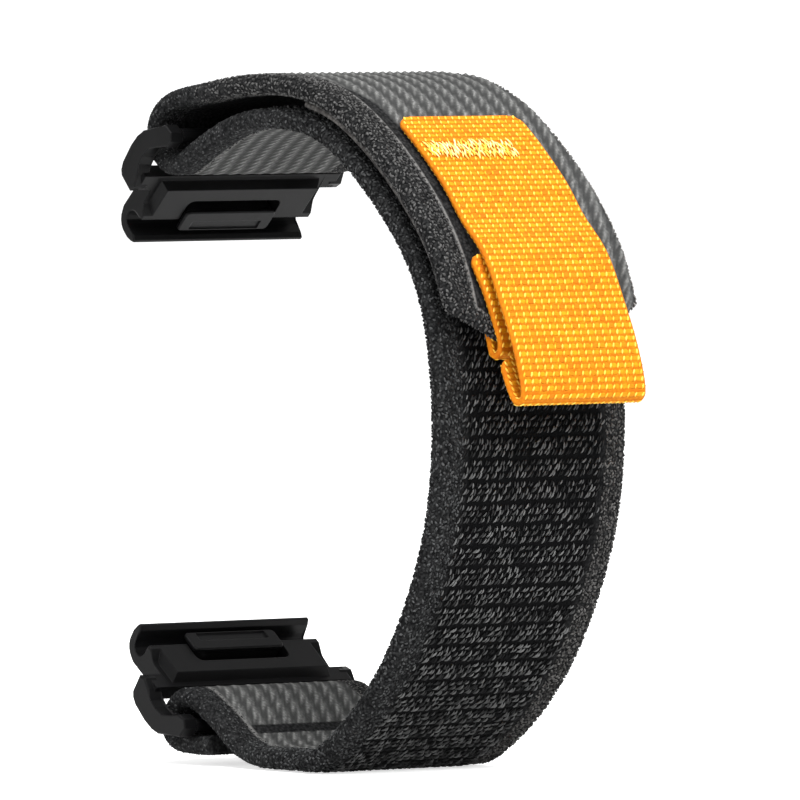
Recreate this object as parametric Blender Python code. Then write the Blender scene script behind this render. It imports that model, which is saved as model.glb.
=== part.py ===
"""A hook-and-loop watch strap with two quick-release clips, closed into a loop as it is round a wrist.

One woven strap makes the whole loop. A short flap is sewn round the lower strap bar, the band goes
round the wrist, turns round the upper strap bar and comes back over the top as the tail. The tail
carries a hook patch underneath and a webbing pull tab at its end. Each clip has a C-shaped jaw for
the watch's pin and a sprung latch that closes it. X points to the front of the wrist, Y runs across
the strap and Z is up. The origin is under the middle of the whole, at the height of its lowest point.
"""

import math

import bmesh
import bpy
import numpy as np
from mathutils import Matrix, Vector

# The woven strap
strap_width = 0.0220
strap_thickness = 0.0018
selvedge_width = 0.0025
edge_round = 0.0004
pile_height = 0.0003
pile_start = 0.0240
pile_ramp = 0.0020
cloth_gap = 0.0003

# The closed loop, measured to the middle of the strap's thickness
loop_depth = 0.0393
loop_height = 0.0642
band_shares = (
    (-0.375, 0.047), (-0.318, 0.021), (-0.245, 0.003), (-0.150, -0.006), (-0.030, -0.004), (0.070, 0.022),
    (0.175, 0.070),
    (0.285, 0.139), (0.389, 0.241), (0.466, 0.366), (0.490, 0.491), (0.476, 0.607), (0.415, 0.724),
    (0.302, 0.812), (0.153, 0.889), (-0.005, 0.938), (-0.153, 0.949), (-0.293, 0.942), (-0.397, 0.919),
)
upper_bar_shares = (-0.509, 0.921)
lower_bar_shares = (-0.4550, 0.0413)
upper_clip_lean = math.radians(44.7)
lower_clip_lean = math.radians(51.4)

# The turns round the strap bars
upper_turn_radius = 0.0030
upper_turn_offset = (0.00105, -0.00125)
upper_turn_angles = (4, 205)
upper_turn_points = 8
shared_turn_points = 3
lower_turn_reach = 0.0048
lower_turn_shares = (
    (-0.608, 0.006), (-0.231, -0.323), (0.162, -0.598), (0.545, -0.715), (0.745, -0.580),
    (0.830, -0.310), (0.790, -0.020), (0.620, 0.210), (0.310, 0.345), (-0.104, 0.412),
)

# The tail with its hook patch
free_span_shares = ((-0.471, 0.982), (-0.377, 0.991), (-0.280, 0.997), (-0.170, 1.000))
tail_touch_length = 0.0309
tail_end_length = 0.0599
touch_points = 8
split_length = 0.0120
tip_length = 0.0032
tip_width = 0.0125
hook_thickness = 0.0005
hook_width = 0.0210
hook_end_gap = 0.0050
hook_lead = 0.0020

# The webbing pull tab and the binding round the tail's tip
tab_width = 0.0150
tab_thickness = 0.0007
tab_gap = 0.0002
tab_length = 0.0248
tab_step = 0.0016
binding_length = 0.0080
binding_tuck = 0.0024
binding_shift = 0.0010
tab_lift = 0.0007
tab_drop = 0.0056
tab_stand_off = 0.0037
tab_fold_radius = 0.0008
tab_tuck_drop = 0.0019
tab_tuck_out = 0.0017

# The clips; points along a clip run from its bar to its jaw, and heights grow towards the wrist
clip_reach = 0.0115
jaw_width = 0.0208
arm_thickness = 0.0016
arm_gap = 0.0002
slot_edge = 0.0056
plate_thickness = 0.0019
plate_chamfer = 0.0004
pin_channel_radius = 0.0010
jaw_wall = 0.0009
lip_rise = 0.0016
nose_rise = 0.0009
nose_run = 0.0013
panel_start = 0.0062
panel_rise = 0.0009
panel_width = 0.0194
panel_slope = 0.0005
edge_bevel = 0.00012
arm_shares = (
    (-0.075, 0.040), (-0.065, -0.065), (-0.020, -0.090), (0.180, -0.240), (0.260, -0.257), (0.378, -0.263),
    (0.555, -0.242), (0.622, -0.223), (0.657, -0.180), (0.668, -0.015), (0.600, 0.008), (0.505, -0.030),
    (0.426, -0.086), (0.340, -0.100), (0.228, -0.083), (0.110, 0.010), (0.062, 0.075), (-0.020, 0.092),
)

# The strap bars
bar_radius = 0.0007
neck_radius = 0.00042
neck_length = 0.0010
metal_gap = 0.0002

# The latches and their springs
latch_width = 0.0110
latch_rear = 0.0094
latch_front = 0.0104
latch_tip = 0.0119
latch_travel = 0.0010
latch_floor = 0.0011
pad_base = 0.0008
pad_thickness = 0.0005
pad_rounding = 0.0005
finger_groove_width = 0.0084
finger_groove_length = 0.0010
finger_groove_depth = 0.00015
tongue_width = 0.0006
tongue_height = 0.0005
spring_radius = 0.00033
spring_wire = 0.00008
spring_turns = 6
spring_spacing = 0.0064
spring_depth = 0.00069
bore_radius = 0.00052
bore_length = 0.0011

# Fineness of the curves
most_turn = math.radians(10)
longest_step = 0.0034
curve_samples = 24
round_sides = 12
spring_points = 8
corner_points = 4
cut_overrun = 0.0010


def clear_scene():
    for old in list(bpy.data.objects):
        bpy.data.objects.remove(old, do_unlink=True)


def material(name, colour, roughness, metallic=0.0):
    made = bpy.data.materials.new(name)
    made.use_nodes = True
    shader = made.node_tree.nodes["Principled BSDF"]
    shader.inputs["Base Color"].default_value = (*colour, 1.0)
    shader.inputs["Roughness"].default_value = roughness
    shader.inputs["Metallic"].default_value = metallic
    return made


def new_object(name, mesh, finish, parent=None):
    made = bpy.data.objects.new(name, mesh)
    bpy.context.scene.collection.objects.link(made)
    made.parent = parent
    if finish:
        mesh.materials.append(finish)
    return made


def mesh_from(name, build):
    """A mesh of what build(bm) makes, with its faces turned outwards."""
    bm = bmesh.new()
    build(bm)
    bmesh.ops.recalc_face_normals(bm, faces=bm.faces)
    mesh = bpy.data.meshes.new(name)
    bm.to_mesh(mesh)
    bm.free()
    return mesh


def smooth_path(points):
    """A dense, smooth line through the points: a natural cubic spline over their chord lengths."""
    points = np.array(points, float)
    chords = np.linalg.norm(np.diff(points, axis=0), axis=1)
    count = len(points)
    system = np.eye(count)
    right = np.zeros((count, 2))
    for i in range(1, count - 1):
        before, after = chords[i - 1], chords[i]
        system[i, i - 1 : i + 2] = before, 2 * (before + after), after
        slopes = (points[i + 1] - points[i]) / after - (points[i] - points[i - 1]) / before
        right[i] = 6 * slopes
    bends = np.linalg.solve(system, right)
    line = []
    for i in range(count - 1):
        for t in np.linspace(0, 1, curve_samples, endpoint=False):
            u = 1 - t
            bow = ((u**3 - u) * bends[i] + (t**3 - t) * bends[i + 1]) * chords[i] ** 2 / 6
            line.append(u * points[i] + t * points[i + 1] + bow)
    line.append(points[-1])
    return np.array(line)


def lengths_along(line):
    return np.concatenate([[0], np.cumsum(np.linalg.norm(np.diff(line, axis=0), axis=1))])


def right_hand_normals(line):
    """Unit vectors square to the line, on the right of its direction: the loop face of the strap."""
    along = np.gradient(line, axis=0)
    along /= np.linalg.norm(along, axis=1)[:, None]
    return np.column_stack([along[:, 1], -along[:, 0]])


def cut_line(line, start, end):
    """The piece of the line between two lengths along it, with exact ends."""
    along = lengths_along(line)
    inside = (along > start) & (along < end)
    ends = [[np.interp(at, along, line[:, axis]) for axis in (0, 1)] for at in (start, end)]
    return np.vstack([ends[0], line[inside], ends[1]])


def thin_out(line):
    """Fewer points: close together where the line bends, further apart where it runs straight."""
    kept = [0]
    headings = np.unwrap(np.arctan2(*np.diff(line, axis=0).T[::-1]))
    along = lengths_along(line)
    for i in range(1, len(line) - 1):
        turned = abs(headings[i] - headings[kept[-1]])
        if turned > most_turn or along[i] - along[kept[-1]] > longest_step:
            kept.append(i)
    return np.vstack([line[kept], line[-1]])


def ribbon(name, line, section_at, finish):
    """A closed strip along a line in the XZ plane; section_at(length along it) gives (across, out) points."""
    normals = right_hand_normals(line)

    def build(bm):
        rings = []
        for place, normal, at in zip(line, normals, lengths_along(line)):
            ring = []
            for across, out in section_at(at):
                x, z = place + normal * out
                ring.append(bm.verts.new((x, across, z)))
            rings.append(ring)
        for ring, following in zip(rings, rings[1:]):
            for i in range(len(ring)):
                j = (i + 1) % len(ring)
                bm.faces.new((ring[i], ring[j], following[j], following[i]))
        bm.faces.new(rings[0])
        bm.faces.new(rings[-1][::-1])

    return new_object(name, mesh_from(name, build), finish)


def flat_section(width, thickness, rounding):
    side, half = width / 2, thickness / 2
    corners = ((side, half - rounding), (side - rounding, half))
    upper = [corners[0], corners[1], (-corners[1][0], corners[1][1]), (-corners[0][0], corners[0][1])]
    lower = [(across, -out) for across, out in reversed(upper)]
    return upper + lower


def tape_section(width, thickness):
    return lambda at: flat_section(width, thickness, thickness / 4)


def strap_section(width, rise):
    """The strap's cross-section: thin selvedges, and the loop pile standing proud between them."""
    plain = flat_section(width, strap_thickness, edge_round)
    inner = width / 2 - selvedge_width
    top = strap_thickness / 2
    pile = [(inner, top), (inner - pile_height, top + rise)]
    mirrored = [(-across, out) for across, out in reversed(pile)]
    return plain[:2] + pile + mirrored + plain[2:]


def clip_axes(lean, up):
    """Unit vectors of a clip in the XZ plane: from its bar to its jaw, and towards the wrist."""
    down = -1 if up else 1
    to_jaw = np.array([-math.sin(lean), down * math.cos(lean)])
    to_wrist = np.array([math.cos(lean), down * math.sin(lean)])
    return to_jaw, to_wrist


def loop_point(shares):
    return np.array([shares[0] * loop_depth, shares[1] * loop_height])


def upper_turn():
    """Points on the round turn at the upper bar, from the wrist side past the jaw to the tail."""
    to_jaw, to_wrist = clip_axes(upper_clip_lean, up=True)
    centre = loop_point(upper_bar_shares) + upper_turn_offset[0] * to_jaw + upper_turn_offset[1] * to_wrist
    angles = np.radians(np.linspace(*upper_turn_angles, upper_turn_points))
    return [centre + upper_turn_radius * (math.sin(a) * to_jaw + math.cos(a) * to_wrist) for a in angles]


def lower_turn():
    """Points from the flap's end round the slack turn at the lower bar to its wrist side."""
    to_jaw, to_wrist = clip_axes(lower_clip_lean, up=False)
    bar = loop_point(lower_bar_shares)
    return [bar + lower_turn_reach * (share[0] * to_jaw + share[1] * to_wrist) for share in lower_turn_shares]


def strap_line():
    """The strap's middle line from the flap's end to the tail's tip, and the lengths along it that matter."""
    high_turn = upper_turn()
    band = [loop_point(shares) for shares in band_shares]
    inner = smooth_path(lower_turn() + band + high_turn)
    inner[:, 1] = np.maximum(inner[:, 1], 0)

    along = lengths_along(inner)
    normals = right_hand_normals(inner)
    stack = strap_thickness + pile_height + hook_thickness + 2 * cloth_gap
    touching = []
    for run in np.linspace(tail_touch_length, tail_end_length, touch_points):
        at = along[-1] - run
        place = [np.interp(at, along, inner[:, axis]) for axis in (0, 1)]
        out = [np.interp(at, along, normals[:, axis]) for axis in (0, 1)]
        touching.append(np.array(place) + stack * np.array(out))
    free = [loop_point(shares) for shares in free_span_shares]
    shared = high_turn[-shared_turn_points:]
    outer = smooth_path(shared + free + touching)
    line = np.vstack([inner, outer[(len(shared) - 1) * curve_samples + 1 :]])
    total = lengths_along(line)
    touch = total[len(line) - (touch_points - 1) * curve_samples - 1]
    return line, along[-1], touch, total[-1]


def offset_line(line, out):
    """The line moved sideways, towards its right-hand side when out is positive."""
    return line + out * right_hand_normals(line)


def make_strap(finish):
    """The woven strap, split where the tail leaves its turn, and the hook patch under the tail."""
    line, turned, touch, whole = strap_line()
    split = turned + split_length
    pile_end = turned - split_length
    band = thin_out(cut_line(line, 0, split - cloth_gap / 2))
    tail = thin_out(cut_line(line, split + cloth_gap / 2, whole))
    tail_length = lengths_along(tail)[-1]

    def band_section(at):
        risen = min(1, max(0, min(at - pile_start, pile_end - at) / pile_ramp))
        return strap_section(strap_width, pile_height * risen)

    def tail_section(at):
        """The tail narrows to a blunt tongue over its last few millimetres."""
        share = min(1, (tail_length - at) / tip_length)
        return strap_section(tip_width + (strap_width - tip_width) * share, 0)

    ribbon("strap_band", band, band_section, finish["weave"])
    ribbon("strap_tail", tail, tail_section, finish["weave"])

    under = strap_thickness / 2 + cloth_gap + hook_thickness / 2
    patch = offset_line(cut_line(line, touch - hook_lead, whole - hook_end_gap), under)
    ribbon("hook_patch", thin_out(patch), tape_section(hook_width, hook_thickness), finish["hooks"])


def make_tab(finish):
    """The binding folded round the tail's tip, and the pull tab sewn over it and folded back under."""
    line, _, _, whole = strap_line()
    on_cloth = strap_thickness / 2 + tab_gap + tab_thickness / 2
    tip = line[-1]
    inwards = right_hand_normals(line)[-1]
    onwards = np.array([-inwards[1], inwards[0]])
    section = tape_section(tab_width, tab_thickness)

    def binding_section(at):
        return [(across - binding_shift, out) for across, out in section(at)]

    outer_leg = offset_line(cut_line(line, whole - binding_length, whole), -on_cloth)
    fold = []
    for angle in np.radians(np.arange(15, 180, 15)):
        fold.append(tip + on_cloth * (math.sin(angle) * onwards - math.cos(angle) * inwards))
    inner_leg = offset_line(cut_line(line, whole - binding_tuck, whole), on_cloth)[::-1]
    binding = np.vstack([outer_leg, fold, inner_leg])
    ribbon("tab_binding", thin_out(binding), binding_section, finish["webbing"])

    over_binding = on_cloth + tab_gap + tab_thickness
    flat = offset_line(cut_line(line, whole - tab_length, whole - binding_length - tab_step), -on_cloth)
    above = cut_line(line, whole - binding_length, whole - binding_length / 2)
    raised = offset_line(above, -over_binding)[0], offset_line(above, -over_binding - tab_lift)[-1]
    fold_centre = tip + tab_drop * onwards - tab_stand_off * inwards
    heading = math.atan2(*(fold_centre - raised[-1])[::-1])
    hang = np.array([math.cos(heading), math.sin(heading)])
    side = np.array([-hang[1], hang[0]])
    turn = []
    for angle in np.radians(np.arange(0, 181, 30)):
        turn.append(fold_centre + tab_fold_radius * (math.cos(angle) * side + math.sin(angle) * hang))
    tuck = tip + tab_tuck_drop * onwards - tab_tuck_out * inwards
    spaced = curve_samples // 2
    sparse = [flat[0], *flat[spaced::spaced], *raised, *turn, tuck]
    ribbon("pull_tab", thin_out(smooth_path(sparse)), section, finish["webbing"])


def between(name, ends, bevel):
    """A solid between two matching outlines, with the edges of both ends bevelled."""

    def build(bm):
        for end in ends:
            bm.faces.new([bm.verts.new(point) for point in end])
        near, far = list(bm.faces)
        rings = list(near.verts), list(far.verts)
        for i in range(len(rings[0])):
            j = (i + 1) % len(rings[0])
            bm.faces.new((rings[0][i], rings[0][j], rings[1][j], rings[1][i]))
        if bevel:
            edges = [edge for face in (near, far) for edge in face.edges]
            bmesh.ops.bevel(bm, geom=edges, offset=bevel, segments=1, affect="EDGES")

    return new_object(name, mesh_from(name, build), None)


def prism(name, outline, width, bevel=0.0, middle=0.0):
    """An outline in a clip's side view, extruded across the strap."""
    sides = (middle - width / 2, middle + width / 2)
    ends = [[(along, across, height) for along, height in outline] for across in sides]
    return between(name, ends, bevel)


def slab(name, low, high, rear_rounding, front_rounding, bevel=0.0):
    """A block between two corners, with its upright edges rounded at the bar's end and at the jaw's end."""
    front, rear = (high[0], front_rounding), (low[0], rear_rounding)
    outline = []
    for quarter, ((end, rounding), side) in enumerate(((front, 1), (rear, 1), (rear, -1), (front, -1))):
        inwards = rounding if end == low[0] else -rounding
        across = high[1] - rounding if side > 0 else low[1] + rounding
        points = corner_points if rounding else 1
        outline += arc((end + inwards, across), rounding, 90 * quarter, 90 * quarter + 90, points)
    ends = [[(*point, height) for point in outline] for height in (low[2], high[2])]
    return between(name, ends, bevel)


def block(name, low, high):
    """A plain block between two corners, each (along, across, height)."""
    outline = ((low[0], low[2]), (high[0], low[2]), (high[0], high[2]), (low[0], high[2]))
    return prism(name, outline, high[1] - low[1], middle=(low[1] + high[1]) / 2)


def rod(name, stations, turned):
    """A turned rod; stations are (place along its axis, radius) and turned places its own Z axis."""

    def build(bm):
        rings = []
        for place, radius in stations:
            angles = [2 * math.pi * i / round_sides for i in range(round_sides)]
            rings.append([bm.verts.new((radius * math.cos(a), radius * math.sin(a), place)) for a in angles])
        for ring, following in zip(rings, rings[1:]):
            for i in range(round_sides):
                j = (i + 1) % round_sides
                bm.faces.new((ring[i], ring[j], following[j], following[i]))
        bm.faces.new(rings[0])
        bm.faces.new(rings[-1])

    made = new_object(name, mesh_from(name, build), None)
    made.data.transform(turned)
    return made


def arc(centre, radius, first, last, count):
    angles = [math.radians(angle) for angle in np.linspace(first, last, count)]
    return [(centre[0] + radius * math.cos(a), centre[1] + radius * math.sin(a)) for a in angles]


def finished_mesh(body, unions, cuts):
    """The body with shapes joined on and others cut away, as a plain mesh; the helpers are removed."""
    for operation, helpers in (("UNION", unions), ("DIFFERENCE", cuts)):
        for helper in helpers:
            change = body.modifiers.new(helper.name, "BOOLEAN")
            change.operation = operation
            change.object = helper
            change.solver = "EXACT"
    bpy.context.view_layer.update()
    graph = bpy.context.evaluated_depsgraph_get()
    mesh = bpy.data.meshes.new_from_object(body.evaluated_get(graph))
    for used in [body, *unions, *cuts]:
        bpy.data.objects.remove(used, do_unlink=True)
    return mesh


def jaw_outline():
    """The clip body from the side: the plate, the C round the pin, its lip and its nose."""
    pin = (clip_reach, 0)
    outer = pin_channel_radius + jaw_wall
    outline = [(slot_edge, 0), (slot_edge, plate_chamfer - plate_thickness)]
    outline += [(slot_edge + plate_chamfer, -plate_thickness)]
    outline += arc(pin, outer, -90, 18, 8)
    outline += [(clip_reach + outer * 0.92, lip_rise * 0.75), (clip_reach + outer * 0.80, lip_rise)]
    outline += [(clip_reach + outer * 0.66, lip_rise), (clip_reach + pin_channel_radius, lip_rise * 0.7)]
    outline += arc(pin, pin_channel_radius, 0, -180, 9)
    nose = clip_reach - pin_channel_radius
    outline += [(nose, nose_rise * 0.7), (nose + nose_run * 0.12, nose_rise)]
    outline += [(nose - nose_run * 0.3, nose_rise)]
    return outline + [(nose - nose_run, nose_rise * 0.12), (nose - nose_run * 1.3, 0)]


def panel(name):
    """The raised, bevelled panel on the wrist side of the plate."""
    nose = clip_reach - pin_channel_radius
    foot = -plate_thickness / 2

    def build(bm):
        rings = []
        for height, inset in ((foot, 0), (0, 0), (panel_rise, panel_slope)):
            ring = []
            for along, side in ((panel_start + inset, 1), (nose, 1), (nose, -1), (panel_start + inset, -1)):
                ring.append(bm.verts.new((along, side * (panel_width / 2 - inset), height)))
            rings.append(ring)
        for ring, following in zip(rings, rings[1:]):
            for i in range(len(ring)):
                j = (i + 1) % len(ring)
                bm.faces.new((ring[i], ring[j], following[j], following[i]))
        bm.faces.new(rings[0])
        bm.faces.new(rings[-1])

    return new_object(name, mesh_from(name, build), None)


def arms_inner():
    """Half the distance between a clip's arms, which the strap runs between."""
    return strap_width / 2 + arm_gap


def frame_mesh():
    """One clip's body: plate, jaw, panel and arms, with the latch's pocket, the bores and the bar's seats."""
    body = prism("frame_body", jaw_outline(), jaw_width, edge_bevel)
    foot = plate_chamfer - plate_thickness
    inner = panel_start + nose_run
    shoulder = ((slot_edge, 0), (slot_edge, foot), (inner, foot), (inner, 0))
    outline = [(along * clip_reach, height * clip_reach) for along, height in arm_shares]
    arm_middle = arms_inner() + arm_thickness / 2
    unions = [prism("frame_shoulder", shoulder, 2 * arm_middle), panel("frame_panel")]
    unions += [prism("frame_arm", outline, arm_thickness, edge_bevel, side * arm_middle) for side in (-1, 1)]

    half = latch_width / 2
    rear = latch_rear - latch_travel - metal_gap
    nose = clip_reach - pin_channel_radius
    deep = -latch_floor - metal_gap / 2
    high = panel_rise + cut_overrun
    low, high = (rear, -half - metal_gap, deep), (nose + metal_gap, half + metal_gap, high)
    pocket = slab("pocket", low, high, pad_rounding + metal_gap, 0)
    reach_out = half + tongue_width + metal_gap
    groove_top = deep + tongue_height + metal_gap
    groove_end = latch_front + metal_gap / 2
    groove = block("groove", (rear, -reach_out, deep), (groove_end, reach_out, groove_top))
    cuts = [pocket, groove]
    towards_jaw = Matrix.Rotation(math.pi / 2, 4, "Y")
    for side in (-1, 1):
        place = Matrix.Translation((rear - bore_length, side * spring_spacing / 2, -spring_depth))
        stations = ((0, bore_radius), (bore_length + cut_overrun / 4, bore_radius))
        cuts.append(rod("spring_bore", stations, place @ towards_jaw))
    across = Matrix.Rotation(-math.pi / 2, 4, "X")
    seat = arms_inner() + neck_length + metal_gap / 2
    hole = neck_radius + metal_gap
    cuts.append(rod("bar_seats", ((-seat, hole), (seat, hole)), across))
    return finished_mesh(body, unions, cuts)


def bar_mesh():
    """The strap bar: a turned pin whose necked ends sit in the arms."""
    shoulder = arms_inner() - metal_gap
    end = arms_inner() + neck_length
    stations = ((-end, neck_radius), (-shoulder, neck_radius), (-shoulder, bar_radius))
    stations += tuple((-place, radius) for place, radius in reversed(stations))
    made = rod("bar_rod", stations, Matrix.Rotation(-math.pi / 2, 4, "X"))
    return finished_mesh(made, [], [])


def latch_mesh():
    """One latch: a sliding block with side tongues, and a pad that closes the jaw over the pin."""
    top = pad_base + pad_thickness
    half = latch_width / 2
    low = (latch_rear + edge_bevel, -half + edge_bevel, -latch_floor)
    high = (latch_front, half - edge_bevel, top - pad_thickness / 2)
    body = slab("latch_body", low, high, pad_rounding - edge_bevel, edge_bevel)
    low, high = (latch_rear, -half, pad_base), (latch_tip, half, top)
    pad = slab("latch_pad", low, high, pad_rounding, pad_rounding, edge_bevel)
    reach_out = latch_width / 2 + tongue_width
    low = (latch_rear + 2 * edge_bevel, -reach_out, -latch_floor + edge_bevel)
    high = (latch_front - edge_bevel, reach_out, -latch_floor + tongue_height)
    tongues = block("latch_tongues", low, high)
    middle = (latch_front + latch_tip) / 2
    half_length, half_width = finger_groove_length / 2, finger_groove_width / 2
    floor = top - finger_groove_depth
    low = (middle - half_length, -half_width, floor)
    groove = block("finger_groove", low, (middle + half_length, half_width, top + cut_overrun))
    return finished_mesh(body, [pad, tongues], [groove])


def spring_mesh():
    """One latch spring: an open coil between the bore's floor and the latch."""
    start = latch_rear - latch_travel - metal_gap - bore_length + metal_gap / 2 + spring_wire
    end = latch_rear - metal_gap / 2 - spring_wire
    count = spring_turns * spring_points
    curve = bpy.data.curves.new("spring_coil", "CURVE")
    curve.dimensions = "3D"
    curve.bevel_depth = spring_wire
    curve.bevel_resolution = 0
    curve.use_fill_caps = True
    spline = curve.splines.new("POLY")
    spline.points.add(count)
    for i, point in enumerate(spline.points):
        angle = 2 * math.pi * i / spring_points
        along = start + (end - start) * i / count
        point.co = (along, spring_radius * math.cos(angle), spring_radius * math.sin(angle) - spring_depth, 1)
    return finished_mesh(new_object("spring_path", curve, None), [], [])


def make_clips(finish):
    """Both clips from the same four pieces, each hung on its strap bar at its own lean."""
    frame, bar, latch, spring = frame_mesh(), bar_mesh(), latch_mesh(), spring_mesh()
    for mesh, key in ((frame, "metal"), (bar, "metal"), (latch, "metal"), (spring, "steel")):
        mesh.materials.clear()
        mesh.materials.append(finish[key])
    upper = ("upper", upper_bar_shares, upper_clip_lean, 1)
    lower = ("lower", lower_bar_shares, lower_clip_lean, -1)
    for name, shares, lean, sideways in (upper, lower):
        to_jaw, to_wrist = clip_axes(lean, name == "upper")
        x, z = loop_point(shares)
        pivot = bpy.data.objects.new(f"{name}_bar_axis", None)
        bpy.context.scene.collection.objects.link(pivot)
        across_row, height_row = (0, sideways, 0, 0), (to_jaw[1], 0, to_wrist[1], z)
        pivot.matrix_world = Matrix(((to_jaw[0], 0, to_wrist[0], x), across_row, height_row, (0, 0, 0, 1)))
        new_object(f"{name}_clip_frame", frame, None, pivot)
        new_object(f"{name}_strap_bar", bar, None, pivot)
        new_object(f"{name}_latch", latch, None, pivot)
        for side, end in ((-1, "near"), (1, "far")):
            coil = new_object(f"{name}_latch_spring_{end}", spring, None, pivot)
            coil.location.y = side * sideways * spring_spacing / 2


def set_origin():
    """Moves everything so that the origin is under the middle of the whole, at its lowest point."""
    bpy.context.view_layer.update()
    points = []
    for made in bpy.data.objects:
        if made.type == "MESH":
            points += [made.matrix_world @ vertex.co for vertex in made.data.vertices]
    low, high = np.min(points, axis=0), np.max(points, axis=0)
    middle = (low + high) / 2
    shift = Vector((-middle[0], -middle[1], -low[2]))
    for made in bpy.data.objects:
        if made.parent is None:
            made.location += shift


def main():
    clear_scene()
    finish = {
        "weave": material("woven_nylon", (0.035, 0.036, 0.038), 0.9),
        "hooks": material("hook_tape", (0.09, 0.09, 0.095), 0.7),
        "webbing": material("orange_webbing", (0.95, 0.36, 0.01), 0.75),
        "metal": material("black_coated_steel", (0.012, 0.012, 0.013), 0.38, 1.0),
        "steel": material("spring_steel", (0.35, 0.35, 0.36), 0.3, 1.0),
    }
    make_strap(finish)
    make_tab(finish)
    make_clips(finish)
    set_origin()


main()
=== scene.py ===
import math

import bpy
import numpy as np
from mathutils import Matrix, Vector


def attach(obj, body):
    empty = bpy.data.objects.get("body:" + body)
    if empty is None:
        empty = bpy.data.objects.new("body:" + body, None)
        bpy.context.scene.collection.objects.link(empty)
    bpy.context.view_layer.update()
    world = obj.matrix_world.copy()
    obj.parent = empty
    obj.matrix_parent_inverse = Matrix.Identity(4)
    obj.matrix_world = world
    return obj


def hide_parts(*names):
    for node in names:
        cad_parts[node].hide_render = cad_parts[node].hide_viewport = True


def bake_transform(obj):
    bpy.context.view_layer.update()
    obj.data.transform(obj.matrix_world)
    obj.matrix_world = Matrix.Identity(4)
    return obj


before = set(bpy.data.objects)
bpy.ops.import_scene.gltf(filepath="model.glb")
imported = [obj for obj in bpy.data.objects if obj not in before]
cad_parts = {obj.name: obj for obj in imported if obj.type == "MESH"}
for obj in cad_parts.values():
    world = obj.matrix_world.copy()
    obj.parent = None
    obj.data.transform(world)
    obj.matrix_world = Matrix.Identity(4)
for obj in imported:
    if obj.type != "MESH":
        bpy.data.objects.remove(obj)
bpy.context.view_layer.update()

# The strap's cloth: one nylon tape about 200 mm long, 22 mm wide and 1.8 mm thick, woven with twill ribs on
# the face towards the wrist. It is sewn round the lower clip's bar, goes round the wrist, turns through the
# upper clip and comes back over itself as the tail, which ends in a narrow tongue.
mm = 0.001
width_way = np.array([0.0, 1.0, 0.0])
strap_width = 22 * mm
strap_thickness = 1.8 * mm
strap_edge = 0.75 * mm
# Its middle line: points (x, z) in mm, from its seam at the lower clip to the tip of the tail.
strap_course = (
    (-14.43, 2.05), (-16.39, 1.95), (-18.35, 2.01), (-20.28, 2.35), (-21.03, 2.96), (-21.26, 3.90),
    (-18.70, 6.48), (-16.81, 6.05), (-15.10, 5.08), (-13.41, 4.10), (-11.85, 2.90), (-8.28, 1.34),
    (-4.37, 1.20), (-0.45, 1.20), (0.53, 1.20), (1.48, 1.40), (3.25, 2.24), (6.50, 4.43),
    (12.14, 9.87), (16.34, 16.48), (19.22, 23.76), (20.37, 31.51), (19.99, 39.34), (17.88, 46.86),
    (13.22, 53.13), (7.25, 58.21), (0.23, 61.61), (-3.66, 62.09), (-7.58, 62.08), (-11.43, 61.38),
    (-15.08, 59.93), (-18.58, 58.16), (-20.38, 57.45), (-22.22, 58.02), (-23.35, 59.58), (-23.29, 61.51),
    (-22.05, 62.97), (-20.25, 63.73), (-16.38, 64.40), (-12.50, 64.97), (-8.59, 65.29), (-4.67, 65.39),
    (3.03, 64.10), (9.86, 60.28), (15.76, 55.12), (20.45, 48.86), (21.94, 45.24), (22.88, 41.43),
)
band_end = 145 * mm
peel_first, peel_last = 147 * mm, 157 * mm
spread_runs = np.array([0, 27, 40, 98, 112, 152, 162]) * mm
spread_share = 1.035
tongue_length, tongue_width = 3.2 * mm, 12.5 * mm
press_first, press_last, press_share = 4.5 * mm, 0.8 * mm, 0.45
# The twill's ropes drift across the strap along its length, and each is a chain of beads.
rib_pitch, rib_wander, rib_height = 1.7 * mm, 0.20 * mm, 0.22 * mm
rib_sharpness = 1.2
bead_step, bead_slant, bead_depth = 0.92 * mm, 0.8, 0.34
drift_runs = np.array([0, 60, 100, 137, 200]) * mm
drift_across = np.array([0, 16.8, 16.8, 7.5, 18.8]) * mm
twill_fade = 0.3 * mm
# Lit and shaded copies of one grey: painted light on the ridges, painted shade in the valleys.
twill_ridge_lit = (0.230, 0.231, 0.225, 1)
twill_valley_shaded = (0.043, 0.0435, 0.0430, 1)
# The cloth lies flatter near the clips' bars, so that the clips turn clear of it.
free_runs, free_shares = np.array([22, 30, 112, 118, 145, 152]) * mm, (0, 1, 1, 0, 0, 1)
least_relief = 0.25
# Beside the twill are the plain edges, wider under the tab and missing on the tail's far side. A pale line is painted
# along the twill's near border. The sewn groove takes the plain edges' dark colour as painted shade, and the ground
# under the pile is the cloth's black, darkened further by painted shade under the loops.
plain_edge = 2.8 * mm
tail_near_plain, tail_far_plain = plain_edge + 0.2 * mm, -0.5 * mm
wide_runs, wide_plain = (164 * mm, 168 * mm), (0, 1.2 * mm)
plain_dark = (0.006, 0.0062, 0.0066, 1)
plain_light = (0.055, 0.0555, 0.056, 1)
line_half = 0.2 * mm
line_light = (0.150, 0.148, 0.144, 1)
# In the sewn groove the twill gives way to the plain edges' dark colour: painted shade in the groove.
groove_first, groove_last = 19.0 * mm, 20.4 * mm
ground_first, ground_last, ground_half = 24 * mm, 128 * mm, 8.3 * mm
# The pile's ground: the cloth's black, darkened further by painted shade under the loops.
shaded_pile_ground = (0.0024, 0.0025, 0.0027, 1)


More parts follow.
